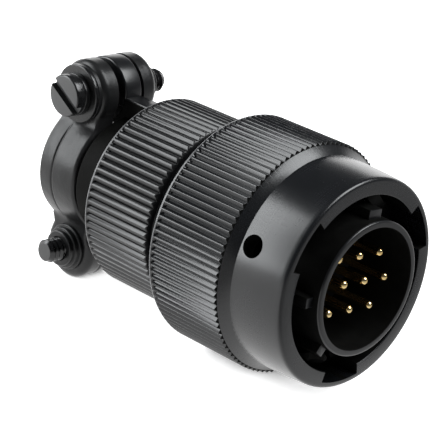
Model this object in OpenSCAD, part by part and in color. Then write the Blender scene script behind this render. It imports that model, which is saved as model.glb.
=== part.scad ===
// Round cable plug with a bayonet coupling nut, ten pins and a two-saddle cable clamp.
// Lengths are in millimetres. The plug's axis lies along X, and its mating end faces +X.
// The origin is on the axis, at the front edge of the plug barrel.
// Angles about the axis are counted from +Y towards +Z.

/* [Plug shell] */
// Outside diameter of the plug barrel
barrel_d = 15.2; // [14.8:0.1:15.8]
// Wall of the plug barrel
barrel_wall = 0.75; // [0.6:0.05:1.1]
// Length of the barrel from its front edge to the flange
barrel_len = 11.4; // [10.8:0.1:12]
// Diameter of the thrust flange
flange_d = 22.4; // [21.4:0.1:22.8]
// Thickness of the thrust flange
flange_t = 2.4; // [1.8:0.1:2.8]
// Diameter of the hub behind the flange
hub_d = 18.4; // [18:0.1:19]
// Major diameter of the rear thread
thread_d = 17.46; // [17:0.02:17.8]
// Length of the rear thread
thread_len = 9.1; // [8:0.1:9.6]
// Diameter of the bore that holds the grommet
rear_bore_d = 14.4; // [14:0.1:14.8]
// Distance from the barrel's front edge to the insert's seat
seat_depth = 18.5; // [17.8:0.1:18.8]

/* [Keys] */
// Width of the master key
master_key_w = 2; // [1.6:0.1:2.4]
// Width of each minor key
minor_key_w = 1.2; // [0.9:0.1:1.5]
// Height of the keys above the barrel
key_h = 1; // [0.7:0.05:1.2]
// Distance of the keys' front ends behind the barrel's front edge
key_setback = 0.95; // [0.5:0.05:2]
// Angles of the minor keys from the master key
minor_keys = [95, 145, 220, 255]; // [0:5:360]
// Turn of the insert and the keys against the cable clamp
insert_turn = -4; // [-30:1:30]

/* [Insert and pins] */
// Depth of the seal's face behind the barrel's front edge
face_depth = 8.3; // [7.5:0.1:9]
// Thickness of the rubber face seal
seal_t = 1.3; // [0.8:0.1:1.8]
// Thickness of the insert's rear flange
insert_flange_t = 1; // [0.7:0.1:1.4]
// Spacing of the pins along a row
pin_pitch = 3.33; // [3.1:0.01:3.5]
// Spacing of the pin rows
row_pitch = 3.06; // [2.8:0.02:3.2]
// Diameter of a pin
pin_d = 1.02; // [0.9:0.01:1.2]
// Diameter of a pin's wire barrel
wire_barrel_d = 1.6; // [1.4:0.05:1.8]
// Length of the wire barrel behind the insert
wire_barrel_len = 4.6; // [3:0.1:5.5]
// Diameter of the hole for the wire
wire_d = 1.1; // [0.8:0.05:1.2]
// Diameter of a pin's retaining collar
collar_d = 2.1; // [2:0.05:2.4]
// Distance of the pin tips behind the barrel's front edge
tip_depth = 1.6; // [1:0.1:4]
// Length of the rear grommet
grommet_len = 8.6; // [7.5:0.1:9]
// Thickness of the grommet follower
follower_t = 0.8; // [0.6:0.1:1.2]

/* [Coupling nut] */
// Diameter of the coupling nut over its knurl
nut_d = 26.5; // [26.2:0.1:27.4]
// Length of the coupling nut
nut_len = 18.2; // [17.6:0.1:18.6]
// Distance of the nut's front face behind the barrel's front edge
nut_setback = 1.5; // [1:0.1:2]
// Bore of the nut's front end
nut_bore_d = 19.92; // [19.6:0.02:20.2]
// Diameter of the nose in front of the knurl
nose_d = 24.2; // [23.8:0.1:24.6]
// Length of the nose, with its shoulder
nose_len = 8.1; // [7.6:0.1:8.6]
// How much narrower the nose is at its front than at its shoulder, in radius
nose_taper = 0.3; // [0.1:0.05:0.5]
// Radius of the nose's front edge
nose_round = 0.6; // [0.3:0.05:0.8]
// Length of the conical shoulder between the knurl and the nose
shoulder_w = 1.25; // [0.9:0.05:1.5]
// Number of ridges in the nut's knurl
nut_ridges = 104; // [80:1:120]
// Depth of the knurl
knurl_depth = 0.5; // [0.3:0.05:0.6]
// Width of the plain rim behind the knurl
rim_w = 0.55; // [0.3:0.05:0.8]

/* [Bayonet tracks] */
// Angle of the first entry slot
slot_angle = 26.5; // [0:0.5:120]
// Width of an entry slot, in degrees
slot_width = 30; // [22:1:34]
// Depth of the tracks into the nut's wall
track_depth = 1.2; // [0.9:0.05:1.35]
// Width of a track along the axis
track_w = 2.7; // [2.2:0.1:3]
// Distance of the track's start behind the nut's front face
track_start = 3.9; // [3.4:0.1:4.2]
// Turn from an entry slot to the end of its track, in degrees
track_turn = 109; // [90:1:112]
// Axial run of a track
track_run = 1.5; // [1:0.1:1.9]
// Diameter of the detent hole at the end of a track
detent_d = 2.5; // [2:0.1:2.6]

/* [Spring and thrust ring] */
// Height of the wave spring
spring_h = 2; // [1.6:0.1:2.4]
// Thickness of the wave spring's strip
spring_t = 0.35; // [0.2:0.05:0.5]
// Radial width of that strip
spring_w = 1.7; // [1.3:0.1:1.8]
// Number of waves
waves = 4; // [3:1:5]
// Thickness of the thrust washer
thrust_t = 0.6; // [0.4:0.05:0.9]
// Radial width of the thrust washer
thrust_w = 2; // [1.6:0.1:2.2]
// Thickness of the snap ring
snap_t = 0.9; // [0.7:0.05:1.1]
// Depth of the snap ring's groove in the nut
snap_groove = 0.5; // [0.3:0.05:0.6]
// Radial distance between the snap ring and the hub
snap_room = 1.2; // [0.8:0.05:1.5]
// Opening of the snap ring, in degrees
snap_opening = 24; // [15:1:40]

/* [Clamp nut] */
// Diameter of the clamp nut over its knurl
clamp_nut_d = 22.4; // [22:0.1:23]
// Length of the knurled part
clamp_knurl_len = 10.43; // [10.2:0.01:11.4]
// Length of the smooth collar in front of the knurl
clamp_collar_len = 1.9; // [1.4:0.1:2.2]
// Diameter of the smooth collar
clamp_collar_d = 20.7; // [20.2:0.1:21.2]
// Number of ridges in the clamp nut's knurl
clamp_ridges = 74; // [60:1:84]
// Gap between the coupling nut and the clamp nut
nut_gap = 0.4; // [0.3:0.05:0.8]
// Thickness of the lip at the clamp nut's rear end
lip_t = 1.6; // [1.2:0.1:2]

/* [Clamp body] */
// Diameter of the cable bore
cable_bore_d = 11.6; // [11:0.1:12]
// Diameter of the neck that runs in the clamp nut
neck_d = 15.6; // [15:0.1:16]
// Diameter of the flange behind the clamp nut
body_flange_d = 20.4; // [19.6:0.1:21.2]
// Thickness of that flange
body_flange_t = 1.5; // [1.2:0.1:2]
// Thickness of the retaining ring on the neck
keeper_t = 0.75; // [0.6:0.05:0.9]
// Depth of the retaining ring's groove in the neck
keeper_groove = 0.55; // [0.3:0.05:0.7]
// Opening of the retaining ring, in degrees
keeper_opening = 30; // [15:1:40]
// Outside diameter of the tube behind the flange
tube_d = 14.6; // [14:0.1:15.2]
// Distance from the tube's end to the saddles
tube_gap = 0.5; // [0.3:0.05:0.8]
// Thickness of the two ears between the saddles
ear_t = 2.5; // [2:0.1:3]
// Distance of each ear from the middle, towards the threaded lug
ear_shift = 0.4; // [0:0.05:0.45]

/* [Saddles] */
// Distance from the flange's rear face to the screws
screw_setback = 8.06; // [7.6:0.02:9]
// Distance between the two screws
screw_span = 19.1; // [18.6:0.1:20]
// Diameter of the saddles' and the ears' round ends
lug_d = 7.7; // [7:0.1:8]
// Width of the saddles along the axis
saddle_w = 6.4; // [5.6:0.1:7]
// Bore between the two saddles
saddle_bore_d = 11; // [10.8:0.1:12]
// Thickness of the saddle's strap
strap_t = 1.8; // [1.2:0.1:2]
// Slope of the strap from its middle to its edges
strap_draft = 0.15; // [0.05:0.05:0.3]
// Gap between a saddle's lugs and the ears, on average
saddle_gap = 0.7; // [0.65:0.05:1.2]
// Thickness of a saddle's lug
lug_t = 2.25; // [1.8:0.05:2.6]
// Radius of a lug's outer edge
lug_round = 0.9; // [0.4:0.05:1.2]
// Height of the pad under a screw's washers
pad_h = 0.35; // [0.2:0.05:0.6]
// Height of the threaded boss
boss_h = 1.5; // [1:0.1:2]
// Diameter of the threaded boss
boss_d = 5.5; // [5:0.1:6]
// Height of the wide step at the foot of the boss
boss_step_h = 0.4; // [0.4:0.05:0.95]

/* [Screws] */
// Diameter of the clamp screws
screw_d = 2.84; // [2.5:0.02:3]
// Length of the clamp screws under the head
screw_len = 13.6; // [12.6:0.1:15]
// Diameter of the screw heads
head_d = 4.9; // [4.4:0.1:5.6]
// Height of the screw heads
head_h = 1.25; // [1:0.05:2]
// Width of the driver slot
driver_slot_w = 1; // [0.7:0.05:1.2]
// Depth of the driver slot
driver_slot_depth = 0.75; // [0.5:0.05:0.9]
// Turn of the driver slot from the plug's axis, in degrees
driver_slot_turn = 31; // [0:1:180]
// Diameter of the flat washers
washer_d = 6.8; // [6.2:0.1:7]
// Thickness of the flat washers
washer_t = 0.5; // [0.3:0.05:0.7]
// Diameter of the lock washers
lock_d = 5; // [5:0.1:5.6]
// Thickness of the lock washers
lock_t = 0.7; // [0.5:0.05:0.9]
// Width of the split in a lock washer
lock_split = 0.5; // [0.3:0.05:0.8]

/* [Fits] */
// Radial clearance of parts that turn or slide on each other
running_gap = 0.1; // [0.06:0.01:0.15]
// Radial clearance of the threads
thread_gap = 0.06; // [0.03:0.01:0.1]
// Radial clearance of the screws in their plain holes
screw_gap = 0.15; // [0.1:0.01:0.25]
// Radial clearance of the insert, the grommet and the pins
seat_gap = 0.05; // [0.02:0.01:0.08]
// Clearance between faces that pass each other
face_gap = 0.1; // [0.05:0.01:0.15]
// Chamfer on turned edges
edge = 0.3; // [0.15:0.05:0.4]

/* [Hidden] */
PIN_COUNT = 10;
$fn = 96;
TRACKS = 3;
TRACK_STEPS = 18;
WAVE_STEPS = 12;
// Overlap of a cutting shape past the face that it opens
slack = 1;
// Half width of a ridge's rounded crown, in pitches, and how far it falls there, in depths
crown_half = 0.29;
crown_fall = 0.2;
// How far the plain rims beside a knurl lie under its crowns, in depths
rim_fall = 0.3;
// How far the solid core and the foot of the ridges lie under the crowns, in depths
core_fall = 1.3;
foot_fall = 1.4;
// Length of the core that shows in front of a knurl
knurl_land = 0.05;
black = [0.11, 0.11, 0.12];
grey = [0.3, 0.3, 0.31];

// Places along the axis, from the mating end to the cable end
flange_front = -barrel_len;
flange_rear = flange_front - flange_t;
seal_front = -face_depth;
insert_front = seal_front - seal_t;
seat = -seat_depth;
insert_rear = seat - insert_flange_t;
grommet_rear = insert_rear - grommet_len;
follower_rear = grommet_rear - follower_t;
nut_front = -nut_setback;
nut_rear = nut_front - nut_len;
knurl_front = nut_front - nose_len;
knurl_rear = nut_rear + rim_w;
nut_shoulder = flange_front + face_gap;
thrust_front = flange_rear - spring_h;
snap_front = thrust_front - thrust_t;
snap_rear = snap_front - snap_t;
hub_rear = nut_rear + face_gap;
shell_rear = hub_rear - thread_len;
clamp_front = nut_rear - nut_gap;
clamp_knurl_front = clamp_front - clamp_collar_len;
clamp_rear = clamp_knurl_front - clamp_knurl_len;
lip_front = clamp_rear + lip_t;
keeper_rear = lip_front + face_gap;
body_flange_front = clamp_rear - face_gap;
body_flange_rear = body_flange_front - body_flange_t;
screw_x = body_flange_rear - screw_setback;
tube_rear = screw_x + saddle_w / 2 + tube_gap;

// Radii that several pieces share
barrel_r = barrel_d / 2;
cavity_r = barrel_r - barrel_wall;
insert_r = cavity_r - seat_gap;
barrel_hole_r = wire_barrel_d / 2 + seat_gap;
flange_r = flange_d / 2;
hub_r = hub_d / 2;
thread_r = thread_d / 2;
rear_bore_r = rear_bore_d / 2;
plug_r = rear_bore_r - seat_gap;
thrust_in = hub_r + running_gap;
thrust_out = thrust_in + thrust_w;
counterbore_r = max(flange_r + running_gap, thrust_out) + running_gap;
snap_r = counterbore_r + snap_groove;
nut_r = nut_d / 2;
nut_bore_r = nut_bore_d / 2;
nose_r = nose_d / 2;
track_r = nut_bore_r + track_depth;
clamp_r = clamp_nut_d / 2;
clamp_bore_r = thread_r + thread_gap;
neck_r = neck_d / 2;
cable_bore_r = cable_bore_d / 2;
tube_r = tube_d / 2;
saddle_bore_r = saddle_bore_d / 2;
strap_r = saddle_bore_r + strap_t;
screw_r = screw_d / 2;
screw_z = screw_span / 2;

// Places across the clamp, out from the middle of the ears
lug_in = ear_t / 2 + saddle_gap;
lug_out = lug_in + lug_t;
pad_top = lug_out + pad_h;
washer_top = pad_top + washer_t;
lock_top = washer_top + lock_t;

// Pins stand in three rows, with one more in the middle row
pin_spots = [
    for (row = [1, 0, -1], i = [0:2 + (row == 0 ? 1 : 0)])
        [(i - (row == 0 ? 1.5 : 1)) * pin_pitch, row * row_pitch]
];

// Revolves an outline of [radius, x] points about the plug's axis
module spun(outline) {
    rotate([0, 90, 0]) rotate_extrude() polygon(outline);
}

// A plain ring between two radii and two places along the axis
module ring(inner, outer, x0, x1) {
    spun([[inner, x0], [outer, x0], [outer, x1], [inner, x1]]);
}

// A rod along the axis, for cutting round holes
module rod(r, x0, x1) {
    translate([x0, 0, 0]) rotate([0, 90, 0]) cylinder(r = r, h = x1 - x0);
}

// A disc across the clamp, on a screw's axis, from y0 to y1
module disc(r, y0, y1) {
    translate([screw_x, y0, 0]) rotate([-90, 0, 0]) cylinder(r = r, h = y1 - y0);
}

// Puts its children at each pin's place
module at_pins() {
    rotate([insert_turn, 0, 0])
        for (spot = pin_spots) translate([0, spot.x, spot.y]) children();
}

// A straight knurl: ridges with V-shaped roots, and a bevel down to its core's front end at x1
// The fall is the bevel's drop in radius for each millimetre
module knurl(crown, count, x0, x1, fall) {
    pitch = 360 / count;
    front = x1 - knurl_land;
    foot = crown - foot_fall * knurl_depth;
    brow = crown + knurl_depth;
    flank = crown - crown_fall * knurl_depth;
    ridge = [[-0.5, crown - knurl_depth], [-crown_half, flank], [0, crown], [crown_half, flank]];
    outline = [
        for (i = [0:count - 1], p = ridge)
            p[1] * [cos((i + p[0]) * pitch), sin((i + p[0]) * pitch)]
    ];
    intersection() {
        translate([x0, 0, 0]) rotate([0, 90, 0]) linear_extrude(height = front - x0) difference() {
            polygon(outline);
            circle(r = crown - 2 * knurl_depth);
        }
        spun([[0, x0], [brow, x0], [brow, front - (brow - foot) / fall], [foot, front], [0, front]]);
    }
}

// One key on the barrel
module key(angle, width) {
    rotate([angle, 0, 0])
        translate([flange_front, cavity_r + barrel_wall / 2, -width / 2])
            cube([barrel_len - key_setback, barrel_wall / 2 + key_h, width]);
}

// Turned shell: keyed barrel, thrust flange, hub and rear thread
module plug_shell() {
    color(black) {
        spun([
            [cavity_r, 0], [barrel_r - edge, 0], [barrel_r, -edge], [barrel_r, flange_front],
            [flange_r - edge, flange_front], [flange_r, flange_front - edge], [flange_r, flange_rear],
            [hub_r, flange_rear], [hub_r, hub_rear], [thread_r, hub_rear],
            [thread_r, shell_rear + edge], [thread_r - edge, shell_rear], [rear_bore_r, shell_rear],
            [rear_bore_r, seat], [cavity_r, seat]
        ]);
        rotate([insert_turn + 90, 0, 0]) {
            key(0, master_key_w);
            for (angle = minor_keys) key(angle, minor_key_w);
        }
    }
}

// Hard insert that holds the pins, put in from the rear against the seat
module insert() {
    color([0.08, 0.08, 0.08]) difference() {
        spun([
            [0, insert_front], [insert_r, insert_front], [insert_r, seat],
            [plug_r, seat], [plug_r, insert_rear], [0, insert_rear]
        ]);
        at_pins() {
            rod(barrel_hole_r, insert_rear - slack, insert_front + slack);
            rod(collar_d / 2 + seat_gap, insert_rear - slack, seat);
        }
    }
}

// Soft seal on the insert's front face
module face_seal() {
    color([0.05, 0.05, 0.05]) difference() {
        rod(insert_r, insert_front, seal_front);
        at_pins() rod(pin_d / 2 + seat_gap, insert_front - slack, seal_front + slack);
    }
}

// Rubber grommet behind the insert, with a hole for each wire
module grommet() {
    barrel_end = insert_rear - wire_barrel_len;
    color([0.2, 0.2, 0.2]) difference() {
        rod(plug_r, grommet_rear, insert_rear);
        at_pins() {
            rod(barrel_hole_r, barrel_end, insert_rear + slack);
            rod(wire_d / 2, grommet_rear - slack, insert_rear);
        }
    }
}

// Ring that passes the clamp's pressure on to the grommet
module grommet_follower() {
    color(grey) ring(cable_bore_r, plug_r, follower_rear, grommet_rear);
}

// One gold-plated pin: round tip, collar and wire barrel
module pin(i) {
    r = pin_d / 2;
    wire_barrel_r = wire_barrel_d / 2;
    tip = -tip_depth;
    rear = insert_rear - wire_barrel_len;
    collar_r = collar_d / 2;
    color([0.83, 0.64, 0.27]) rotate([insert_turn, 0, 0])
        translate([0, pin_spots[i].x, pin_spots[i].y]) difference() {
            spun(concat(
                [for (a = [90:-15:0]) [r * cos(a), tip - r + r * sin(a)]],
                [[r, insert_front], [wire_barrel_r, insert_front], [wire_barrel_r, seat]],
                [[collar_r, seat], [collar_r, insert_rear]],
                [[wire_barrel_r, insert_rear], [wire_barrel_r, rear], [0, rear]]
            ));
            rod(wire_d / 2, rear - slack, insert_rear);
        }
}

// Flat washer between the wave spring and the snap ring
module thrust_washer() {
    color(grey) ring(thrust_in, thrust_out, snap_front, thrust_front);
}

// Wave spring that pushes the coupling nut back against the flange
module wave_spring() {
    inner = hub_r + 2 * running_gap;
    outer = inner + spring_w;
    middle = thrust_front + spring_h / 2;
    swing = spring_h / 2 - spring_t / 2 - face_gap;
    steps = WAVE_STEPS * waves;
    corners = [[inner, -0.5], [outer, -0.5], [outer, 0.5], [inner, 0.5]];
    points = [
        for (i = [0:steps - 1], c = corners)
            let (a = i * 360 / steps)
            [middle + swing * cos(waves * a) + c[1] * spring_t, c[0] * cos(a), c[0] * sin(a)]
    ];
    faces = [
        for (i = [0:steps - 1], k = [0:3])
            let (j = (i + 1) % steps, m = (k + 1) % 4)
            [4 * i + k, 4 * i + m, 4 * j + m, 4 * j + k]
    ];
    color(grey) polyhedron(points, faces);
}

// One bayonet track, cut as a strip that winds back from its entry slot
module track(angle) {
    inner = nut_bore_r - slack;
    outer = track_r - face_gap;
    corners = [[inner, -0.5], [outer, -0.5], [outer, 0.5], [inner, 0.5]];
    points = [
        for (i = [0:TRACK_STEPS], c = corners)
            let (a = angle - i * track_turn / TRACK_STEPS)
            [
                nut_front - track_start - i * track_run / TRACK_STEPS + c[1] * track_w,
                c[0] * cos(a),
                c[0] * sin(a)
            ]
    ];
    sides = [
        for (i = [0:TRACK_STEPS - 1], k = [0:3])
            let (m = (k + 1) % 4)
            [4 * i + k, 4 * i + 4 + k, 4 * i + 4 + m, 4 * i + m]
    ];
    polyhedron(points, concat([[0, 1, 2, 3]], sides, [[for (k = [3:-1:0]) 4 * TRACK_STEPS + k]]));
}

// An entry slot in the nut's front face
module entry_slot(angle) {
    inner = nut_bore_r - slack;
    rear = nut_front - track_start - track_w / 2;
    rotate([angle - slot_width / 2 + 90, 0, 0]) rotate([0, 90, 0])
        rotate_extrude(angle = slot_width)
            translate([inner, rear]) square([track_r - inner, nut_front + slack - rear]);
}

// The round hole at a track's end, where a locked stud shows
module detent_hole(angle) {
    x = nut_front - track_start - track_run;
    rotate([angle - track_turn, 0, 0])
        translate([x, nut_bore_r - slack, 0])
            rotate([-90, 0, 0]) cylinder(d = detent_d, h = nut_r);
}

// Coupling nut: knurled rear, smooth nose, three bayonet tracks with their slots and holes
module coupling_nut() {
    rim_r = nut_r - rim_fall * knurl_depth;
    core_r = nut_r - core_fall * knurl_depth;
    shoulder_fall = (nut_r - nose_r) / shoulder_w;
    core_front = knurl_front + foot_fall * knurl_depth / shoulder_fall + knurl_land;
    lip_r = nose_r - nose_taper - nose_round;
    color(black) {
        difference() {
            spun(concat(
                [[nut_bore_r, nut_front]],
                [for (a = [90:-15:0]) [lip_r, nut_front - nose_round] + nose_round * [cos(a), sin(a)]],
                [[nose_r, knurl_front + shoulder_w], [core_r, core_front]],
                [[core_r, knurl_rear], [rim_r, knurl_rear]],
                [[rim_r, nut_rear + edge / 2], [rim_r - edge / 2, nut_rear], [counterbore_r, nut_rear]],
                [[counterbore_r, snap_rear - face_gap], [snap_r, snap_rear - face_gap]],
                [[snap_r, snap_front], [counterbore_r, snap_front]],
                [[counterbore_r, nut_shoulder], [nut_bore_r, nut_shoulder]]
            ));
            for (k = [0:TRACKS - 1]) {
                angle = slot_angle + k * 360 / TRACKS;
                entry_slot(angle);
                track(angle);
                detent_hole(angle);
            }
        }
        knurl(nut_r, nut_ridges, knurl_rear, core_front, shoulder_fall);
    }
}

// Snap ring in the nut's groove, open at one place
module snap_ring() {
    inner = hub_r + snap_room;
    color(grey) rotate([0, 90, 0]) rotate_extrude(angle = 360 - snap_opening)
        translate([inner, snap_rear]) square([snap_r - running_gap - inner, snap_t]);
}

// Clamp body: neck, flange, tube and two ears for the screws
module clamp_body() {
    rim_r = body_flange_d / 2;
    groove_r = neck_r - keeper_groove;
    keeper_front = keeper_rear + keeper_t + face_gap;
    color(black) difference() {
        union() {
            spun([
                [0, follower_rear], [neck_r - edge, follower_rear], [neck_r, follower_rear - edge],
                [neck_r, keeper_front], [groove_r, keeper_front], [groove_r, keeper_rear],
                [neck_r, keeper_rear], [neck_r, body_flange_front],
                [rim_r, body_flange_front], [rim_r, body_flange_rear + edge],
                [rim_r - edge, body_flange_rear], [tube_r, body_flange_rear],
                [tube_r, tube_rear + edge], [tube_r - edge, tube_rear], [0, tube_rear]
            ]);
            for (side = [0, 180]) rotate([side, 0, 0]) {
                translate([0, 0, screw_z]) disc(lug_d / 2, ear_shift - ear_t / 2, ear_shift + ear_t / 2);
                translate([screw_x, ear_shift - ear_t / 2, saddle_bore_r])
                    cube([body_flange_rear - screw_x, ear_t, screw_z - saddle_bore_r]);
            }
        }
        rod(cable_bore_r, tube_rear - slack, follower_rear + slack);
        for (side = [-1, 1])
            translate([0, 0, side * screw_z]) disc(screw_r + screw_gap, -ear_t, ear_t);
    }
}

// Ring that keeps the clamp nut on the clamp body's neck
module retaining_ring() {
    inner = neck_r - keeper_groove + running_gap;
    outer = clamp_bore_r - running_gap;
    color(grey) rotate([0, 90, 0]) rotate_extrude(angle = 360 - keeper_opening)
        translate([inner, keeper_rear]) square([outer - inner, keeper_t]);
}

// Knurled nut that draws the clamp body on to the plug shell
module clamp_nut() {
    rim_r = clamp_r - rim_fall * knurl_depth;
    core_r = clamp_r - core_fall * knurl_depth;
    collar_r = clamp_collar_d / 2;
    lip_r = neck_r + running_gap;
    color(black) union() {
        spun([
            [clamp_bore_r + edge, clamp_front], [collar_r - edge, clamp_front],
            [collar_r, clamp_front - edge], [collar_r, clamp_knurl_front],
            [core_r, clamp_knurl_front], [core_r, clamp_rear + rim_w],
            [rim_r, clamp_rear + rim_w], [rim_r, clamp_rear + edge / 2],
            [rim_r - edge / 2, clamp_rear], [lip_r, clamp_rear], [lip_r, lip_front],
            [clamp_bore_r, lip_front], [clamp_bore_r, clamp_front - edge]
        ]);
        knurl(clamp_r, clamp_ridges, clamp_rear + rim_w, clamp_knurl_front, 1);
    }
}

// One lug of a saddle on the -Y side, with a rounded outer edge
module lug(z) {
    inward = sign(z);
    flat_r = lug_d / 2 - lug_round;
    translate([screw_x, 0, z]) rotate([-90, 0, 0]) rotate_extrude() polygon(concat(
        [[0, -lug_in], [0, -lug_out]],
        [for (a = [-90:15:0]) [flat_r, lug_round - lug_out] + lug_round * [cos(a), sin(a)]],
        [[lug_d / 2, -lug_in]]
    ));
    translate([screw_x - saddle_w / 2, -lug_out, min(z, inward * saddle_bore_r)])
        cube([saddle_w, lug_t, screw_z - saddle_bore_r]);
}

// Clamp saddle on the -Y side: a strap between a plain lug at the top and a threaded one below
module saddle() {
    front = screw_x + saddle_w / 2;
    rear = screw_x - saddle_w / 2;
    edge_r = strap_r - strap_draft;
    color(grey) difference() {
        union() {
            intersection() {
                spun([
                    [saddle_bore_r, front], [edge_r - edge, front], [edge_r, front - edge],
                    [strap_r, screw_x], [edge_r, rear + edge], [edge_r - edge, rear], [saddle_bore_r, rear]
                ]);
                translate([rear - slack, -2 * strap_r, -strap_r - slack])
                    cube([saddle_w + 2 * slack, 2 * strap_r - lug_in, 2 * strap_r + 2 * slack]);
            }
            lug(screw_z);
            lug(-screw_z);
            translate([0, 0, screw_z]) disc(washer_d / 2, -pad_top, -lug_out);
            translate([0, 0, -screw_z]) {
                disc(boss_d / 2, -lug_out - boss_step_h, -lug_out);
                disc(boss_d / 2 - edge, -lug_out - (boss_step_h + boss_h) / 2, -lug_out);
                disc(boss_d / 2 - 2 * edge, -lug_out - boss_h, -lug_out);
            }
        }
        rod(saddle_bore_r, rear - slack, front + slack);
        translate([0, 0, screw_z]) disc(screw_r + screw_gap, -pad_top - slack, slack);
        translate([0, 0, -screw_z]) disc(screw_r + thread_gap, -lug_out - boss_h - slack, slack);
    }
}

// Flat washer under the top screw's lock washer
module flat_washer() {
    color(grey) difference() {
        translate([0, 0, screw_z]) disc(washer_d / 2, -washer_top, -pad_top);
        translate([0, 0, screw_z]) disc(screw_r + screw_gap, -washer_top - slack, slack);
    }
}

// Split lock washer under the top screw's head
module lock_washer() {
    color(grey) difference() {
        translate([0, 0, screw_z]) disc(lock_d / 2, -lock_top, -washer_top);
        translate([0, 0, screw_z]) disc(screw_r + screw_gap, -lock_top - slack, slack);
        translate([screw_x - lock_d, -lock_top - slack, screw_z - lock_split / 2])
            cube([lock_d, lock_t + 2 * slack, lock_split]);
    }
}

// Slotted cheese-head screw, entering from the -Y side
module screw() {
    head_top = lock_top + head_h;
    tip = screw_len - lock_top;
    translate([screw_x, 0, screw_z]) color(black) difference() {
        rotate([-90, 0, 0]) rotate_extrude() polygon([
            [0, -head_top], [head_d / 2 - edge, -head_top], [head_d / 2, -head_top + edge],
            [head_d / 2, -lock_top], [screw_r, -lock_top], [screw_r, tip - edge],
            [screw_r - edge, tip], [0, tip]
        ]);
        rotate([0, driver_slot_turn, 0]) translate([-head_d, -head_top - slack, -driver_slot_w / 2])
            cube([2 * head_d, slack + driver_slot_depth, driver_slot_w]);
    }
}

// The far side repeats the near side, turned half round about the plug's axis
module turned_over() {
    rotate([180, 0, 0]) children();
}

plug_shell();
insert();
face_seal();
grommet();
grommet_follower();
for (i = [1:PIN_COUNT]) pin(i - 1);
thrust_washer();
wave_spring();
coupling_nut();
snap_ring();
clamp_body();
retaining_ring();
clamp_nut();
saddle();  // saddle_near
turned_over() saddle();  // saddle_far
flat_washer();  // flat_washer_top
turned_over() flat_washer();  // flat_washer_bottom
lock_washer();  // lock_washer_top
turned_over() lock_washer();  // lock_washer_bottom
screw();  // screw_top
turned_over() screw();  // screw_bottom
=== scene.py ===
from math import radians, tau

import bmesh
import bpy
import numpy as np
from mathutils import Matrix, Vector


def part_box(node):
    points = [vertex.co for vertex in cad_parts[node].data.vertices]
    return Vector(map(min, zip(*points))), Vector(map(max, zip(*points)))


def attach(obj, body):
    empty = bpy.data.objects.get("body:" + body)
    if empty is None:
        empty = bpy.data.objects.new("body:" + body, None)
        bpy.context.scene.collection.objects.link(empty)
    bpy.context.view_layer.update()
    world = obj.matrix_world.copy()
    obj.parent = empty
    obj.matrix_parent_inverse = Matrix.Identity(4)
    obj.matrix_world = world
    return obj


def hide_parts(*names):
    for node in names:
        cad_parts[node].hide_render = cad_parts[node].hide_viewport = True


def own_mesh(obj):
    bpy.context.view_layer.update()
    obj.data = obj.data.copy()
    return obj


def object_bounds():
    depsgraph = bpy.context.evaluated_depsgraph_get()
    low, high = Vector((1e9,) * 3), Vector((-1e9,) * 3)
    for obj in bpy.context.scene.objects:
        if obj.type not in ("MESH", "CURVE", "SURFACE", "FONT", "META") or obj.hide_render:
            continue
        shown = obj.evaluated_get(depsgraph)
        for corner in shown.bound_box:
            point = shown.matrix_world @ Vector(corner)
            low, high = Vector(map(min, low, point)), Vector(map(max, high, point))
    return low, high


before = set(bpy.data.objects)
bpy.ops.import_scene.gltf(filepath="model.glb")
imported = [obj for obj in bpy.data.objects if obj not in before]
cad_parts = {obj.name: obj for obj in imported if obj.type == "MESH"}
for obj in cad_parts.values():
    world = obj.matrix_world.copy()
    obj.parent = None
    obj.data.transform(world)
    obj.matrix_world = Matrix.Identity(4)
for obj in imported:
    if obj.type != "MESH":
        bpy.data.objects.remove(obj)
cad_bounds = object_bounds()


# Plug shell. It is turned from aluminium bar, milled for its five keys and anodised black.
# The barrel enters the receptacle, the flange carries the coupling nut and the rear thread the clamp nut.
MM = 0.001
barrel_r = 7.6
barrel_wall = 0.75
cavity_r = barrel_r - barrel_wall
flange_r = 11.2
flange_front = -11.4
flange_rear = -13.8
hub_r = 9.2
hub_rear = -19.6
thread_r = 8.73
thread_pitch = 1.058
thread_depth = 0.45
thread_root_r = thread_r - 0.6
thread_bevel = 0.3
shell_rear = -28.7
rear_bore_r = 7.2
insert_seat = -18.5
key_angles = {"master": 86, "a": 181, "b": 231, "c": 306, "d": 341}
master_key_w = 2.0
minor_key_w = 1.2
key_top = 8.6
key_front = -0.95


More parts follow.
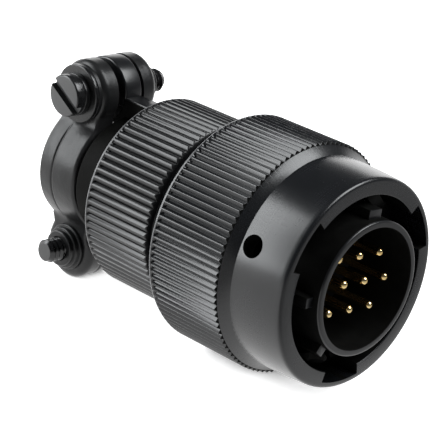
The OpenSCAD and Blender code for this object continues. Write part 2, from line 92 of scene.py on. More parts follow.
class Wire:
    """An output socket in a material. Sums and products of wires add the math nodes for them."""

    def __init__(self, tree, socket=None):
        self.tree = tree
        self.socket = socket

    def node(self, kind, inputs=None, settings=None, out=0):
        made = self.tree.nodes.new("ShaderNode" + kind)
        for name, value in (settings or {}).items():
            setattr(made, name, value)
        for name, value in (inputs or {}).items():
            if isinstance(value, Wire):
                self.tree.links.new(value.socket, made.inputs[name])
            else:
                made.inputs[name].default_value = value
        return Wire(self.tree, made.outputs[out] if made.outputs else None)

    def other(self, out):
        """Another output of this wire's node."""
        return Wire(self.tree, self.socket.node.outputs[out])

    def math(self, operation, *values):
        return self.node("Math", dict(enumerate(values)), {"operation": operation})

    def __add__(self, other):
        return self.math("ADD", self, other)

    def __sub__(self, other):
        return self.math("SUBTRACT", self, other)

    def __rsub__(self, other):
        return self.math("SUBTRACT", other, self)

    def __mul__(self, other):
        return self.math("MULTIPLY", self, other)

    def __truediv__(self, other):
        return self.math("DIVIDE", self, other)

    def __rtruediv__(self, other):
        return self.math("DIVIDE", other, self)

    __radd__ = __add__
    __rmul__ = __mul__

    def ramp(self, low, high, to_low=0.0, to_high=1.0):
        """Moves a range of this wire on to another, and stops at its ends."""
        return self.node("MapRange", {0: self, 1: low, 2: high, 3: to_low, 4: to_high})

    def blend(self, low, high):
        """A colour between two, with this wire as the share of the second."""
        return self.node("Mix", {0: self, 6: (*low, 1), 7: (*high, 1)}, {"data_type": "RGBA"}, out=2)

    def noise(self, size, detail=3.0):
        """Cloudy noise at this place, with features of about this many millimetres."""
        return self.node("TexNoise", {"Vector": self, "Scale": 1 / (size * MM), "Detail": detail})


def surface(name):
    """A new material, with the wire that gives places on the object."""
    material = bpy.data.materials.new(name)
    material.use_nodes = True
    material.node_tree.nodes.clear()
    spot = Wire(material.node_tree).node("TexCoord", out="Object")
    return material, spot


def shade(spot, inputs, bumps):
    """Ends a material: a principled shader with bumps, each a height wire and its depth in millimetres."""
    normal = None
    for height, depth in bumps:
        below = {"Normal": normal} if normal else {}
        normal = spot.node("Bump", {"Height": height, "Distance": depth * MM, "Strength": 1.0, **below})
    shader = spot.node("BsdfPrincipled", {**inputs, "Normal": normal})
    spot.node("OutputMaterial", {"Surface": shader})


def anodised(name, tone, sheen, worn_highlight_edges=()):
    """Black anodised aluminium with lathe lines, fine scratches along it and a matt grain.

    Each edge in the list is a (place, radius) of a turned corner that is painted light grey: partly worn
    bare metal, partly a painted edge highlight.
    """
    material, spot = surface(name)
    x = spot.node("SeparateXYZ", {0: spot})
    y, z = x.other(1), x.other(2)
    square = y * y + z * z
    x, r = x / MM, square.math("SQRT", square) / MM
    across_lines = {"W": (x + r) * 6.0, "Scale": 1.0, "Detail": 2.0}
    lines = spot.node("TexNoise", across_lines, {"noise_dimensions": "1D"})
    cloud = spot.noise(5.0)
    fine = spot.noise(0.12, 2.0)
    drawn_out = spot.node("Mapping", {"Vector": spot, "Scale": (0.08, 1, 1)})
    scratch = drawn_out.noise(0.16)
    colour = cloud.ramp(0.3, 0.7).blend([c * 0.75 for c in tone], tone)
    bare_metal_highlight = (0.34, 0.34, 0.35, 1)
    # Painted edge highlight mixed with wear: light grey along the listed turned corners.
    for edge_x, edge_r in worn_highlight_edges:
        square = (x - edge_x) * (x - edge_x) + (r - edge_r) * (r - edge_r)
        edge_highlight = square.math("SQRT", square).ramp(0.06, 0.2, 0.9, 0.0) * scratch.ramp(0.25, 0.5)
        colour = spot.node("Mix", {0: edge_highlight, 6: colour, 7: bare_metal_highlight}, {"data_type": "RGBA"}, out=2)
    rough = sheen + (cloud - 0.5) * 0.08 + (lines - 0.5) * 0.03 + (scratch - 0.5) * 0.05
    bumps = [(lines, 0.0006), (fine, 0.003), (scratch, 0.0008)]
    shade(spot, {"Base Color": colour, "Roughness": rough}, bumps)
    return material


def eased(corners, steps=5):
    """A closed outline through (radius, place, rounding) corners, with each corner rounded."""
    points = []
    around = zip(corners[-1:] + corners[:-1], corners, corners[1:] + corners[:1])
    for before, here, after in around:
        p, q, s = (np.array(c[:2], float) for c in (before, here, after))
        if here[2] == 0:
            points.append(q)
            continue
        a = q + (p - q) * min(here[2] / np.linalg.norm(p - q), 0.5)
        b = q + (s - q) * min(here[2] / np.linalg.norm(s - q), 0.5)
        points += [(1 - t) ** 2 * a + 2 * t * (1 - t) * q + t * t * b for t in np.linspace(0, 1, steps)]
    return np.array(points)


def smooth(mesh, crease=32):
    """Merges doubled points, turns the faces outwards and shades all but the sharp edges smooth."""
    work = bmesh.new()
    work.from_mesh(mesh)
    bmesh.ops.remove_doubles(work, verts=work.verts, dist=1e-7)
    bmesh.ops.recalc_face_normals(work, faces=work.faces)
    work.to_mesh(mesh)
    work.free()
    mesh.shade_smooth()
    mesh.set_sharp_from_angle(angle=radians(crease))


def made(name, points, faces):
    """A new piece from points in millimetres."""
    mesh = bpy.data.meshes.new(name)
    mesh.from_pydata((np.asarray(points, float) * MM).tolist(), [], faces)
    smooth(mesh)
    piece = bpy.data.objects.new(name, mesh)
    bpy.context.collection.objects.link(piece)
    return piece


def wrapped(rows, columns, round_rows=True, round_columns=True):
    """The four-sided faces of a grid of points, joined up at its ends where asked."""
    return [
        (i * columns + j, i * columns + (j + 1) % columns,
         (i + 1) % rows * columns + (j + 1) % columns, (i + 1) % rows * columns + j)
        for i in range(rows if round_rows else rows - 1)
        for j in range(columns if round_columns else columns - 1)
    ]


ROUND = np.linspace(0, tau, 180, endpoint=False)


def turned(name, outline, angles=ROUND, relief=None, place=Matrix.Identity(4)):
    """A turned piece about X. Relief gives the depth to take off at each radius, place and angle."""
    r = outline[:, :1] + 0 * angles
    x = outline[:, 1:] + 0 * angles
    if relief:
        r = r - relief(r, x, angles + 0 * r)
    points = np.stack([x, r * np.cos(angles), r * np.sin(angles)], -1).reshape(-1, 3)
    points = points @ np.array(place)[:3, :3].T + np.array(place)[:3, 3]
    return made(name, points, wrapped(len(outline), len(angles)))


def block(name, low, high, rounding, place=Matrix.Identity(4)):
    """A block between two corners, with rounded edges."""
    work = bmesh.new()
    bmesh.ops.create_cube(work, size=1.0)
    low, high = Vector(low), Vector(high)
    size = high - low
    for v in work.verts:
        v.co = low + Vector((v.co[k] + 0.5) * size[k] for k in range(3))
    bmesh.ops.bevel(work, geom=work.edges[:], offset=rounding, segments=3, profile=0.5, affect="EDGES")
    points = [place @ v.co for v in work.verts]
    work.verts.index_update()
    faces = [[v.index for v in f.verts] for f in work.faces]
    work.free()
    return made(name, points, faces)


def carve(piece, tool, operation="DIFFERENCE"):
    """Cuts a tool's shape out of a piece, or joins it on, and throws the tool away."""
    change = piece.modifiers.new("carve", "BOOLEAN")
    change.operation = operation
    change.solver = "MANIFOLD"
    change.object = tool
    bpy.context.view_layer.update()
    whole = piece.evaluated_get(bpy.context.evaluated_depsgraph_get())
    mesh = bpy.data.meshes.new_from_object(whole)
    piece.modifiers.clear()
    piece.data = mesh
    smooth(mesh)
    bpy.data.objects.remove(tool)


def fitted(piece, material, slot, body, *nodes):
    """Gives a piece its finish and its body, and stands it in for its CAD nodes."""
    piece.data.materials.clear()
    piece.data.materials.append(material)
    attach(piece, body)
    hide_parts(*nodes)


def threaded(root, depth, pitch, start, end):
    """The relief of a right-hand thread that is cut below a radius between two places."""
    def relief(r, x, angle):
        phase = (x / pitch - angle / tau) % 1
        cut = np.abs(2 * phase - 1)
        run = np.clip((x - start) / pitch, 0, 1) * np.clip((end - x) / pitch, 0, 1)
        return np.where(r > root, depth * cut * run, 0)
    return relief


def paint_shade_on(piece, material, picked):
    """Gives a second material, in this script a painted shade, to the faces picked by radius, place and how
    far they face outwards.
    """
    piece.data.materials.append(material)
    faces = piece.data.polygons
    middle, facing = np.empty(3 * len(faces)), np.empty(3 * len(faces))
    faces.foreach_get("center", middle)
    faces.foreach_get("normal", facing)
    x, y, z = middle.reshape(-1, 3).T / MM
    r = np.hypot(y, z)
    outwards = (y * facing[1::3] + z * facing[2::3]) / r
    faces.foreach_set("material_index", picked(r, x, outwards).astype(np.int32))


black = anodised("black_anodised", (0.0075, 0.0079, 0.0090), 0.3)
# Painted shade: a near-black, almost unreflecting material laid on faces deep in shade inside the nuts and
# behind the clamp nut.
painted_shade, spot = surface("painted_shade_black")
cloud = spot.noise(1.5)
shade(spot, {
    "Base Color": cloud.ramp(0.3, 0.7).blend((0.0032, 0.0032, 0.0029), (0.0055, 0.0055, 0.0051)),
    "Roughness": 0.62 + (cloud - 0.5) * 0.3, "Specular IOR Level": 0.04,
}, [(spot.noise(0.15), 0.01)])
thread_steps = 8
thread_places = np.arange(hub_rear, shell_rear + thread_bevel, -thread_pitch / thread_steps)
thread_rows = [(thread_r, x, 0) for x in thread_places]
shell_outline = eased([
    (cavity_r, 0, 0.1), (barrel_r, 0, 0.25), (barrel_r, flange_front, 0.15), (flange_r, flange_front, 0.25),
    (flange_r, flange_rear, 0.15), (hub_r, flange_rear, 0), (hub_r, hub_rear, 0.12), *thread_rows,
    (thread_r - thread_bevel, shell_rear, 0), (rear_bore_r, shell_rear, 0.1), (rear_bore_r, insert_seat, 0),
    (cavity_r, insert_seat, 0),
])
rear_thread = threaded(thread_root_r, thread_depth, thread_pitch, shell_rear, hub_rear)
shell = turned(
    "plug_shell", shell_outline,
    relief=lambda r, x, a: np.where((x < hub_rear) & (r < hub_r - 0.2), rear_thread(r, x, a), 0),
)
for name, angle in key_angles.items():
    width = master_key_w if name == "master" else minor_key_w
    foot, top = (flange_front - 0.5, cavity_r + 0.3, -width / 2), (key_front, key_top, width / 2)
    key = block("key_" + name, foot, top, 0.1, Matrix.Rotation(radians(angle), 4, "X"))
    carve(shell, key, "UNION")
fitted(shell, black, "black_anodised", "shell", "plug_shell")


def shell_inside(r, x, outwards):
    """Painted shade on the barrel and the flange in the nut's shade, but not the barrel's edge and the
    keys' front faces.
    """
    past_edge = (x < -barrel_wall / 2) | (outwards < -0.5)
    return (x > flange_rear) & past_edge & (np.abs(x - key_front) > 0.01)


paint_shade_on(shell, painted_shade, shell_inside)


# Insert, face seal and grommet. The hard insert is moulded plastic, and the seal and the grommet are
# moulded rubber that is pressed against it, so their shapes stay as they are and get a matt finish.
def moulded(name, tone, rough, grain_size, grain):
    """A matt moulding with a cloudy tone and a fine grain, its size and depth in millimetres."""
    material, spot = surface(name)
    cloud = spot.noise(3.0)
    fine = spot.noise(grain_size)
    colour = cloud.ramp(0.3, 0.7).blend([c * 0.75 for c in tone], tone)
    shade(spot, {"Base Color": colour, "Roughness": rough + (cloud - 0.5) * 0.2}, [(fine, grain)])
    return material


finishes = {
    "insert": moulded("insert_plastic", (0.012, 0.012, 0.012), 0.5, 0.2, 0.008),
    "face_seal": moulded("seal_rubber", (0.006, 0.006, 0.006), 0.75, 0.15, 0.012),
    "grommet": moulded("grommet_rubber", (0.02, 0.02, 0.021), 0.7, 0.15, 0.012),
    "grommet_follower": black,
}
for node, material in finishes.items():
    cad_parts[node].data.materials.clear()
    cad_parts[node].data.materials.append(material)


# Pins. Each is turned from copper alloy and gold plated, with a round tip, and is pushed into the insert
# from behind until its collar seats.
pin_r = 0.51
wire_barrel_r = 0.8
wire_r = 0.55
collar_r = 1.05
insert_front = -9.6
insert_rear = -19.5
pin_count = 10

gold, spot = surface("gold_pin")
cloud = spot.noise(0.8)
tint = cloud.ramp(0.3, 0.7).blend((0.86, 0.60, 0.24), (0.96, 0.76, 0.40))
rough = 0.16 + (cloud - 0.5) * 0.1
shade(spot, {"Base Color": tint, "Metallic": 1.0, "Roughness": rough}, [(spot.noise(0.1), 0.003)])

for i in range(1, pin_count + 1):
    node = f"pin_{i}"
    low, high = (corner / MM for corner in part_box(node))
    tip, rear = high.x, low.x
    dome = [(pin_r * np.cos(t), tip - pin_r + pin_r * np.sin(t), 0) for t in np.linspace(tau / 4, 0, 10)]
    dome[0] = (0, tip, 0)
    outline = eased(dome + [
        (pin_r, insert_front, 0), (wire_barrel_r, insert_front, 0.1), (wire_barrel_r, insert_seat, 0),
        (collar_r, insert_seat, 0.1), (collar_r, insert_rear, 0.1), (wire_barrel_r, insert_rear, 0),
        (wire_barrel_r, rear, 0.1), (wire_r, rear, 0), (wire_r, insert_rear, 0), (0, insert_rear, 0),
    ])
    middle = (low + high) / 2
    place = Matrix.Translation((0, middle.y, middle.z))
    pin = turned("gold_" + node, outline, np.linspace(0, tau, 32, endpoint=False), place=place)
    fitted(pin, gold, "gold_pin", "shell", node)


steel, spot = surface("spring_steel")
cloud = spot.noise(1.5)
streak = spot.noise(0.25, 4.0)
tint = cloud.ramp(0.3, 0.7).blend((0.22, 0.22, 0.225), (0.34, 0.34, 0.345))
shade(spot, {"Base Color": tint, "Metallic": 1.0, "Roughness": 0.28 + streak * 0.15}, [(streak, 0.004)])
for node in ("thrust_washer", "wave_spring", "snap_ring", "retaining_ring"):
    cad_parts[node].data.materials.clear()
    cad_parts[node].data.materials.append(steel)
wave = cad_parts["wave_spring"]
spring = bpy.data.objects.new("wave_spring_coiled", wave.data.copy())
spring.matrix_world = wave.matrix_world.copy()
bpy.context.collection.objects.link(spring)
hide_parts("wave_spring")
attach(spring, "shell")
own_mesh(spring)


# Coupling nut. It is turned and knurled from aluminium, then milled for three entry slots that wind
# back as bayonet tracks, drilled at their ends and anodised black. The snap ring holds it on the flange.
nut_low, nut_high = (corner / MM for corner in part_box("coupling_nut"))
nut_r = nut_high.z
nut_rear, nut_front = nut_low.x, nut_high.x
nut_bore_r = 9.96
nut_ridges = 104
nut_flank = 42
nut_crest = 0.13
nut_root = 0.02
ridge_h = 0.34
ridge_end = 0.14
knurl_run_in = 0.2
knurl_front = -9.6
ridge_foot = knurl_front + ridge_end
shoulder = 1.25
nose_rear = knurl_front + shoulder
nose_r = 12.1
nose_taper = 0.3
nose_round = 0.45
nut_rim_w = 0.4
nut_rim_r = nut_r - 0.12
nut_knurl_rear = nut_rear + nut_rim_w
counterbore_r = 11.4
nut_shoulder = -11.3
slot_angle = 26.5
slot_width = 30
track_r = 11.16
track_w = 2.7
track_start = nut_front - 3.9
track_run = 1.5
track_turn = 109
detent_r = 1.25
inside_bore = nut_bore_r - 1
# The length of bore at the front that is left out of the painted shade.
unshaded_bore = 1.6


def ridges(count, crown, rear, front, flank, crest, root):
    """The angles to draw a straight knurl, and its relief between two places.

    The ridges have flanks at an angle in degrees. Each is rounded over a share of its crest, and has a
    deeper root.
    """
    half = np.array([0.04, 0.09, 0.16, 0.28, 0.4, 0.45])
    ridge = np.concatenate([-half[::-1], [0], half, [0.5]])
    angles = ((np.arange(count)[:, None] + ridge) / count * tau).ravel()
    depth = tau / 2 * crown / count * np.tan(radians(flank))
    root_start = 0.8

    def relief(r, x, angle):
        off = np.abs(2 * ((angle / tau * count + 0.5) % 1) - 1)
        at_root = np.clip((off - root_start) / (1 - root_start), 0, 1)
        groove = depth * (np.hypot(off, crest) - crest) + root * at_root
        run = np.clip((x - rear) / knurl_run_in, 0, 1) * np.clip((front - x) / knurl_run_in, 0, 1)
        return np.where(x > rear, np.maximum(r - crown + groove * run, 0), 0)
    return angles, relief


def knurled(crown, rear, front, foot_r, foot, bow):
    """Outline points along a knurl, from the foot of its straight or bowed front end back to its rear."""
    end = [(foot_r + (crown - foot_r) * (1 - t ** bow) ** (1 / bow), front + t * (foot - front), 0)
           for t in np.linspace(1, 0, 11)]
    return end + [(crown, rear + t * knurl_run_in, 0) for t in (1, 0.5, 0)]


def swept(name, path):
    """A curved bar from inside the bore to the track's floor, through (angle, rear, front) steps."""
    rows = [
        [(x, r * np.cos(radians(a)), r * np.sin(radians(a))) for x, r in
         ((rear, inside_bore), (rear, track_r), (front, track_r), (front, inside_bore))]
        for a, rear, front in path
    ]
    faces = wrapped(len(rows), 4, round_rows=False)
    last = 4 * len(rows) - 4
    ends = [(3, 2, 1, 0), (last, last + 1, last + 2, last + 3)]
    return made(name, np.array(rows).reshape(-1, 3), faces + ends)


nut_angles, nut_knurl = ridges(
    nut_ridges, nut_r, nut_knurl_rear, ridge_foot + knurl_run_in, nut_flank, nut_crest, nut_root,
)
nose = [
    (nose_r - nose_taper * t * t, nose_rear + t * (nut_front - nose_rear), 0)
    for t in np.linspace(0.88, 0.1, 9)
]
nut_outline = eased([
    (nut_bore_r, nut_front, 0.12), (nose_r - nose_taper, nut_front, nose_round), *nose,
    (nose_r, nose_rear, 0),
    *knurled(nut_r, nut_knurl_rear, knurl_front, nut_r - ridge_h, ridge_foot, 1),
    (nut_rim_r, nut_knurl_rear, 0), (nut_rim_r, nut_rear, 0.18), (counterbore_r, nut_rear, 0.15),
    (counterbore_r, nut_shoulder, 0), (nut_bore_r, nut_shoulder, 0.1),
])
nut = turned("coupling_nut_turned", nut_outline, nut_angles, nut_knurl)
for k in range(3):
    angle = slot_angle + 120 * k
    fan = np.linspace(angle - slot_width / 2, angle + slot_width / 2, 9)
    carve(nut, swept("entry", [(a, track_start - track_w / 2, nut_front + 1) for a in fan]))
    turns = np.linspace(0, 1, 28)
    middle = track_start - turns * track_run
    carve(nut, swept("track", zip(angle - turns * track_turn, middle - track_w / 2, middle + track_w / 2)))
    hole = eased([(0, inside_bore, 0), (detent_r, inside_bore, 0), (detent_r, nut_r, 0), (0, nut_r, 0)])
    out = Matrix.Rotation(radians(angle - track_turn), 4, "X") @ Matrix.Translation((middle[-1], 0, 0))
    out = out @ Matrix.Rotation(radians(90), 4, "Z")
    carve(nut, turned("hole", hole, np.linspace(0, tau, 48, endpoint=False), place=out))
# The nut's rear rim gets a painted edge highlight, mixed with wear.
nut_black = anodised("nut_black_anodised", (0.0075, 0.0081, 0.0094), 0.26, [(nut_rear, nut_rim_r)])
fitted(nut, nut_black, "black_anodised", "coupling_nut", "coupling_nut")
# Painted shade on the bore and tracks inside the nut, all but the front stretch of the bore.
paint_shade_on(nut, painted_shade, lambda r, x, outwards: (
    (outwards < 0.5) & (x < nut_front - unshaded_bore) & (x > nut_shoulder)))


# Clamp nut. It is turned and knurled from aluminium like the coupling nut, with coarser ridges and a
# plain collar in front. It screws on to the shell's rear thread and draws the clamp body in.
clamp_low, clamp_high = (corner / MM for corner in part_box("clamp_nut"))
clamp_r = clamp_high.z
clamp_rear, clamp_front = clamp_low.x, clamp_high.x
collar_w = 2.25
clamp_ridge_end = 0.4
clamp_core_r = 10.45
clamp_collar_r = 10.35
clamp_bore_r = 8.79
clamp_lip_r = 7.9
clamp_lip_w = 1.6
clamp_ridges = 74
clamp_flank = 46
clamp_crest = 0.48
clamp_root = 0.1
clamp_rim_w = 0.4
clamp_rim_r = clamp_r - 0.12
clamp_knurl_rear = clamp_rear + clamp_rim_w
collar_rear = clamp_front - collar_w

clamp_angles, clamp_knurl = ridges(
    clamp_ridges, clamp_r, clamp_knurl_rear, clamp_front, clamp_flank, clamp_crest, clamp_root,
)
clamp_outline = eased([
    (clamp_bore_r, clamp_front, 0.3), (clamp_collar_r, clamp_front, 0.3),
    (clamp_collar_r, collar_rear, 0.1),
    *knurled(clamp_r, clamp_knurl_rear, collar_rear - clamp_ridge_end, clamp_core_r, collar_rear, 2),
    (clamp_rim_r, clamp_knurl_rear, 0), (clamp_rim_r, clamp_rear, 0.18), (clamp_lip_r, clamp_rear, 0.15),
    (clamp_lip_r, clamp_rear + clamp_lip_w, 0), (clamp_bore_r, clamp_rear + clamp_lip_w, 0),
])
clamp_nut = turned("clamp_nut_turned", clamp_outline, clamp_angles, clamp_knurl)
# The clamp nut's rear rim gets a painted edge highlight, mixed with wear.
clamp_black = anodised("clamp_black_anodised", (0.0085, 0.0088, 0.0095), 0.32, [(clamp_rear, clamp_rim_r)])
fitted(clamp_nut, clamp_black, "black_anodised", "clamp_nut", "clamp_nut")


# Clamp body. One aluminium casting, machined and anodised: a neck inside the clamp nut, a flange, a short
# tube for the cable, and two flat ears that take the screws between the saddles.
neck_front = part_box("clamp_body")[1].x / MM
neck_r = 7.8
neck_groove_r = 7.25
keeper_front, keeper_rear = -29.88, -30.73
body_flange_r = 8.6
body_flange_front = clamp_rear - 0.1
body_flange_rear = body_flange_front - 1.5
tube_r = 7.3
tube_rear = -38.39
cable_r = 5.8
ear_front, ear_rear = -0.85, 1.65
screw_x = -42.09
screw_z = 9.55
lug_r = 3.85
screw_hole_r = 1.57
drill = 3

body_outline = eased([
    (cable_r, neck_front, 0), (neck_r, neck_front, 0.3), (neck_r, keeper_front, 0),
    (neck_groove_r, keeper_front, 0), (neck_groove_r, keeper_rear, 0), (neck_r, keeper_rear, 0),
    (neck_r, body_flange_front, 0), (body_flange_r, body_flange_front, 0.15),
    (body_flange_r, body_flange_rear, 0.3), (tube_r, body_flange_rear, 0.25),
    (tube_r, tube_rear, 0.3), (cable_r, tube_rear, 0.1),
])
clamp_body = turned("clamp_body_cast", body_outline)


def across(x, z, side):
    """Turns a piece about X to stand on a screw's axis, pointing to that side in Y."""
    return Matrix.Translation((x, 0, z)) @ Matrix.Rotation(radians(90) * side, 4, "Z")


for half_turn in (0, 180):
    over = Matrix.Rotation(radians(half_turn), 4, "X")
    low, high = (screw_x, ear_front, cable_r + 0.2), (body_flange_front, ear_rear, screw_z)
    carve(clamp_body, block("web", low, high, 0.2, over), "UNION")
    on_screw = over @ across(screw_x, screw_z, 1)
    disc = eased([(0, ear_front, 0), (lug_r, ear_front, 0.25), (lug_r, ear_rear, 0.25), (0, ear_rear, 0)])
    carve(clamp_body, turned("ear", disc, place=on_screw), "UNION")
    hole = eased([(0, -drill, 0), (screw_hole_r, -drill, 0), (screw_hole_r, drill, 0), (0, drill, 0)])
    carve(clamp_body, turned("hole", hole, place=on_screw))
fitted(clamp_body, black, "black_anodised", "clamp_body", "clamp_body")
# Painted shade on the neck, flange and tube of the body, in the gap behind the clamp nut.
paint_shade_on(clamp_body, painted_shade, lambda r, x, outwards: (r < body_flange_r + 0.1) & (x > tube_rear))


# Saddles. Two equal castings with a satin black finish grip the cable. Each is a curved strap between a
# plain lug and a lug with a threaded boss, with a fine parting line along the strap.
lug_in = 1.95
lug_out = 4.2
lug_round = 0.9
strap_round = 0.4
rear_bevel_w = 0.5
rear_bevel_h = 0.4
strap_r = 7.27
strap_draft = 0.15
strap_half = 3.2
strap_mid = 5.6
strap_end = 6.2
round_run = 1.6
bevel_end = 6
bevel_round = 0.2
crease_w = 0.012
saddle_bore_r = 5.5
lug_reach = 2.2
waist_blend = 0.7
waist_sink = 0.05 * waist_blend
parting = -0.19
parting_depth = 0.1
parting_w = 0.035
parting_fade = 1.5
pad_r = 3.4
pad_top = 4.55
boss_steps = [(2.75, 0.4), (2.45, 0.95), (2.15, 1.5)]
tapped_r = 1.48
drill_top = 8

satin, spot = surface("black_saddle")
cloud = spot.noise(2.2)
fine = spot.noise(0.14)
tint = cloud.ramp(0.3, 0.7).blend((0.009, 0.009, 0.0093), (0.014, 0.014, 0.0144))
shade(spot, {
    "Base Color": tint, "Roughness": 0.32 + (cloud - 0.5) * 0.2, "Specular IOR Level": 0.29,
}, [(cloud, 0.09), (fine, 0.008)])


def soft_max(a, b, width):
    """The larger of two heights, with the corner between them filled in."""
    return (a + b + np.sqrt((a - b) ** 2 + width * width)) / 2


def saddle(name, half_turn):
    """A saddle from a grid of heights along and across it, with its pad, boss and holes."""
    bow = lug_r * np.sin(np.linspace(-tau / 4, tau / 4, 33))
    z = np.concatenate([bow - screw_z, np.linspace(-strap_mid, strap_mid, 70), bow + screw_z])[:, None]
    u = np.sin(np.linspace(-tau / 4, tau / 4, 41))
    seam = parting + parting_w * np.array([-2, -1.2, -0.6, 0, 0.6, 1.2, 2])
    crease = rear_bevel_w / strap_half - 1
    u = np.sort(np.concatenate([u, seam, [crease, crease_w + crease]]))
    past = np.abs(z) - screw_z
    disc = np.sqrt(np.clip(lug_r ** 2 - past ** 2, 0, None))
    half = np.where(past > -lug_reach, np.maximum(disc, np.where(past < 0, strap_half, 0)), strap_half)
    x = u * half
    crown = strap_r - strap_draft * (x / strap_half) ** 2
    strap = np.sqrt(np.clip(crown ** 2 - z ** 2, 0, None))
    top = soft_max(strap, lug_out - waist_sink, waist_blend)
    line = np.exp(-((u - parting) / parting_w) ** 2)
    line = line * np.clip((strap_end - np.abs(z)) / parting_fade, 0, 1)
    bevel = np.clip(rear_bevel_w - half * (1 + u), 0, None) * rear_bevel_h / rear_bevel_w
    towards_lug = np.clip((np.abs(z) - strap_end) / round_run, 0, 1)
    rounding = strap_round + (lug_round - strap_round) * towards_lug
    inset = np.where(past > 0, lug_r - np.sqrt(x ** 2 + past ** 2), half * (1 - np.abs(u)))
    edge = np.clip(rounding - inset, 0, rounding)
    edge = rounding - np.sqrt(rounding ** 2 - edge ** 2)
    bevelled = (u < 0) & (np.abs(z) < bevel_end)
    top = top - parting_depth * line - np.where(bevelled, np.maximum(bevel, bevel_round * edge), edge)
    under = np.maximum(lug_in, np.sqrt(np.clip(saddle_bore_r ** 2 - z ** 2, 0, None))) + 0 * x
    rows, columns = x.shape
    outer = np.stack([x + screw_x, -top, z + 0 * x], -1).reshape(-1, 3)
    inner = np.stack([x + screw_x, -under, z + 0 * x], -1).reshape(-1, 3)
    count = rows * columns
    grid = wrapped(rows, columns, False, False)
    faces = grid + [tuple(k + count for k in reversed(f)) for f in grid]
    for j in (0, columns - 1):
        side = [i * columns + j for i in range(rows)]
        faces += [(a, b, b + count, a + count) for a, b in zip(side, side[1:])]
    piece = made(name, np.concatenate([outer, inner]), faces)
    pad = eased([(0, lug_out - 1, 0), (pad_r, lug_out - 1, 0), (pad_r, pad_top, 0.12), (0, pad_top, 0)])
    carve(piece, turned("pad", pad, place=across(screw_x, screw_z, -1)), "UNION")
    foot = lug_out - 1
    boss = [(0, foot, 0)]
    for r, rise in boss_steps:
        boss += [(r, foot, 0.05), (r, lug_out + rise, 0.2)]
        foot = lug_out + rise
    boss = eased(boss + [(0, foot, 0)])
    carve(piece, turned("boss", boss, place=across(screw_x, -screw_z, -1)), "UNION")
    for hole_z, r in ((screw_z, screw_hole_r), (-screw_z, tapped_r)):
        hole = eased([(0, 0, 0), (r, 0, 0), (r, drill_top, 0), (0, drill_top, 0)])
        carve(piece, turned("hole", hole, place=across(screw_x, hole_z, -1)))
    if half_turn:
        piece.data.transform(Matrix.Rotation(radians(180), 4, "X"))
    return piece


fitted(saddle("saddle_near_cast", False), satin, "black_saddle", "saddle_near", "saddle_near")
fitted(saddle("saddle_far_cast", True), satin, "black_saddle", "saddle_far", "saddle_far")


# Screws and washers. Steel with a black oxide finish: a slotted cheese-head screw with a flat and a split
# lock washer enters each pad, passes the ear and screws into the other saddle's boss.
washer_top = 5.05
lock_top = 5.75
washer_r = 3.4
lock_r = 2.5
lock_split = 0.5
head_r = 2.45
head_top = 7.0
screw_r = 1.42
screw_root_r = screw_r - 0.3
screw_cut = 0.24
screw_tip = 7.85
tip_r = screw_r - 0.35
tip_bevel = 0.3
screw_pitch = 0.635
screw_thread = 5.0
thread_end = screw_thread - screw_tip
driver_w = 1.0
driver_depth = 0.75
driver_turn = 31


def oxided(name, painted_face_tone, face_rough):
    """Black oxide on steel: dark and glossy on the turned sides, duller on the flat faces, which are
    painted a tone of their own.
    """
    material, spot = surface(name)
    cloud = spot.noise(1.2)
    fine = spot.noise(0.1)
    facing = spot.node("SeparateXYZ", {0: spot.node("NewGeometry", out="Normal")}, out=1)
    flat = facing.math("ABSOLUTE", facing).ramp(0.85, 0.97)
    tint = cloud.ramp(0.3, 0.7).blend((0.008, 0.008, 0.0084), (0.016, 0.016, 0.0166))
    # Painted tone on the faces picked by which way they face.
    tint = spot.node("Mix", {0: flat, 6: tint, 7: (*painted_face_tone, 1)}, {"data_type": "RGBA"}, out=2)
    rough = 0.16 + flat * face_rough + (cloud - 0.5) * 0.12
    shade(spot, {"Base Color": tint, "Metallic": 0.2, "Roughness": rough}, [(fine, 0.012)])
    return material


# The screws' flat faces are painted lighter, as a painted reflection.
oxide = oxided("black_steel", (0.055, 0.055, 0.055), 0.26)
# The washers' flat faces are painted darker, as painted shade.
washer_oxide_and_shade = oxided("washer_black_steel", (0.006, 0.006, 0.006), 0.1)

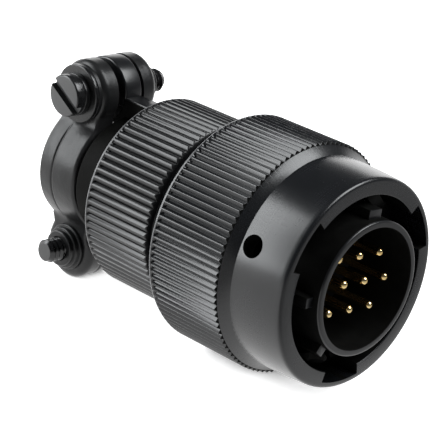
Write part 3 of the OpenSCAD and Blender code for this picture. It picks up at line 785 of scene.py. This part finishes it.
for name, end, half_turn in (("top", "near", 0), ("bottom", "far", 180)):
    over = Matrix.Rotation(radians(half_turn), 4, "X") @ across(screw_x, screw_z, -1)
    screw_places = np.arange(tip_bevel - screw_tip, thread_end, screw_pitch / thread_steps)
    thread_rows = [(screw_r, x, 0) for x in screw_places]
    outline = eased([
        (0, head_top, 0), (head_r, head_top, 0.28), (head_r, lock_top, 0.08), (screw_r, lock_top, 0),
        *reversed(thread_rows), (tip_r, -screw_tip, 0.08), (0, -screw_tip, 0),
    ])
    cut = threaded(screw_root_r, screw_cut, screw_pitch, -screw_tip - screw_pitch, thread_end)
    screw = turned(
        "screw_" + name + "_turned", outline, np.linspace(0, tau, 64, endpoint=False),
        relief=lambda r, x, a: np.where(x < lock_top - 0.1, cut(r, x, a), 0), place=over,
    )
    low = (head_top - driver_depth, -2 * head_r, -driver_w / 2)
    high = (head_top + 1, 2 * head_r, driver_w / 2)
    turned_slot = over @ Matrix.Rotation(radians(-driver_turn), 4, "X")
    carve(screw, block("slot", low, high, 0.04, turned_slot))
    fitted(screw, oxide, "black_steel", "screw_" + name, "screw_" + name)

    flat = eased([
        (screw_hole_r, pad_top, 0), (washer_r, pad_top, 0.1), (washer_r, washer_top, 0.15),
        (screw_hole_r, washer_top, 0),
    ])
    washer = turned("flat_washer_" + name + "_stamped", flat, place=over)
    fitted(washer, washer_oxide_and_shade, "black_steel", "saddle_" + end, "flat_washer_" + name)

    lock = eased([
        (screw_hole_r, washer_top, 0), (lock_r, washer_top, 0.12), (lock_r, lock_top, 0.12),
        (screw_hole_r, lock_top, 0),
    ])
    split = turned("lock_washer_" + name + "_split", lock, place=over)
    low, high = (washer_top - 1, -4, -lock_split / 2), (lock_top + 1, -0.5, lock_split / 2)
    carve(split, block("gap", low, high, 0.02, over))
    fitted(split, washer_oxide_and_shade, "black_steel", "saddle_" + end, "lock_washer_" + name)


# Studio. The plug lies on a white sweep under soft boxes, as in a catalogue photograph, and the camera
# looks at it from the front, a little above and slightly rolled.
aim = Vector((-21.8, 0, -0.1)) * MM
distance = 223.45 * MM
azimuth = radians(42.569)
elevation = radians(20.812)
roll = radians(7.024)
lens = 162.16

scene = bpy.context.scene
scene.view_settings.view_transform = "Standard"

# The sweep and the soft boxes are in metres.
sweep_front = -1.5
sweep_back = 0.32
sweep_bend = 0.08
sweep_top = 0.11
sweep_half = 1.2
bend = [
    (sweep_back + sweep_bend * np.sin(t), sweep_bend * (1 - np.cos(t)))
    for t in np.linspace(0, tau / 4, 12)
]
rise = [(sweep_front, 0), *bend, (sweep_back + sweep_bend, sweep_bend + sweep_top)]
away = Vector((-np.sin(azimuth), np.cos(azimuth), 0))
aside = Vector((np.cos(azimuth), np.sin(azimuth), 0))
ground = Vector((aim.x, aim.y, cad_bounds[0][2]))
up = Vector((0, 0, 1))
edges = [ground + away * v + aside * side * sweep_half + up * h for v, h in rise for side in (-1, 1)]
sweep = made("white_sweep", np.array(edges) / MM, wrapped(len(rise), 2, False, False))
sweep.data.flip_normals()
paper, spot = surface("white_sweep")
lit = spot.node("BsdfDiffuse", {"Color": (0.8, 0.8, 0.8, 1)})
x = spot.node("SeparateXYZ", {0: spot})
y = x.other(1) / MM
x = x / MM
open_sky = spot.node("AmbientOcclusion", {"Distance": 4 * MM}, out="AO").ramp(0.0, 0.22)

# The camera sees white paper but for the shadow close to the plug. The metal mirrors paper that is
# brightest behind the plug and fades in front of it.
glow = spot.node("Emission", {"Color": open_sky, "Strength": 0.95})
seen = spot.node("AddShader", {0: lit, 1: glow})
fading = x.ramp(-250, -60, 1.2, 0.82) * x.ramp(-5, 15, 1.0, 0.35)
mirrored = spot.node("Emission", {"Color": open_sky * fading, "Strength": 1.85})
path = spot.node("LightPath", out="Is Camera Ray")
bounced = spot.node("MixShader", {0: path.other("Is Glossy Ray"), 1: lit, 2: mirrored})
white_paper = spot.node("MixShader", {0: path, 1: bounced, 2: seen})

# A painted shadow: the paper is dark at the place that the camera sees through the nut's lower detent hole.
dark_x, dark_y = -9.5, 4.85
dark_r, dark_edge = 1.2, 3.2
square = (x - dark_x) * (x - dark_x) + (y - dark_y) * (y - dark_y)
in_open = square.math("SQRT", square).ramp(dark_r, dark_edge)
shadow = spot.node("BsdfDiffuse", {"Color": (0.01, 0.01, 0.01, 1)})
spot.node("OutputMaterial", {"Surface": spot.node("MixShader", {0: in_open, 1: shadow, 2: white_paper})})
sweep.data.materials.append(paper)

world = bpy.data.worlds.new("studio")
scene.world = world
world.use_nodes = True
world.node_tree.nodes.clear()
sky = Wire(world.node_tree)
direct = sky.node("LightPath", out="Is Camera Ray")
dim = sky.node("Background", {"Color": (0.9, 0.95, 1, 1), "Strength": 0.08})
white = sky.node("Background", {"Color": (1, 1, 1, 1), "Strength": 1.0})
sky.node("OutputWorld", {"Surface": sky.node("MixShader", {0: direct, 1: dim, 2: white})})


def soft_box(name, spot, width, height, power):
    """A large soft lamp that faces the plug."""
    lamp = bpy.data.lights.new(name, "AREA")
    lamp.shape = "RECTANGLE"
    lamp.size = width
    lamp.size_y = height
    lamp.energy = power
    lamp.color = (0.96, 0.985, 1.0)
    box = bpy.data.objects.new(name, lamp)
    back = (Vector(spot) - aim).normalized()
    side = (Vector((1, 0, 0)) - back * back.x).normalized()
    facing = Matrix((side, back.cross(side), back)).transposed().to_4x4()
    box.matrix_world = Matrix.Translation(spot) @ facing
    bpy.context.collection.objects.link(box)


soft_box("over_right", (0.28, 0.24, 0.5), 0.4, 0.4, 4.6)
soft_box("left", (-0.53, -0.445, 0.31), 0.36, 0.76, 7.5)

camera = bpy.data.objects.new("camera", bpy.data.cameras.new("camera"))
level = np.cos(elevation)
back = Vector((np.sin(azimuth) * level, -np.cos(azimuth) * level, np.sin(elevation)))
camera.matrix_world = (
    Matrix.Translation(aim + back * distance) @ back.to_track_quat("Z", "Y").to_matrix().to_4x4()
    @ Matrix.Rotation(roll, 4, "Z")
)
camera.data.lens = lens
camera.data.sensor_width = 36
camera.data.clip_start = 0.01
bpy.context.collection.objects.link(camera)
scene.camera = camera
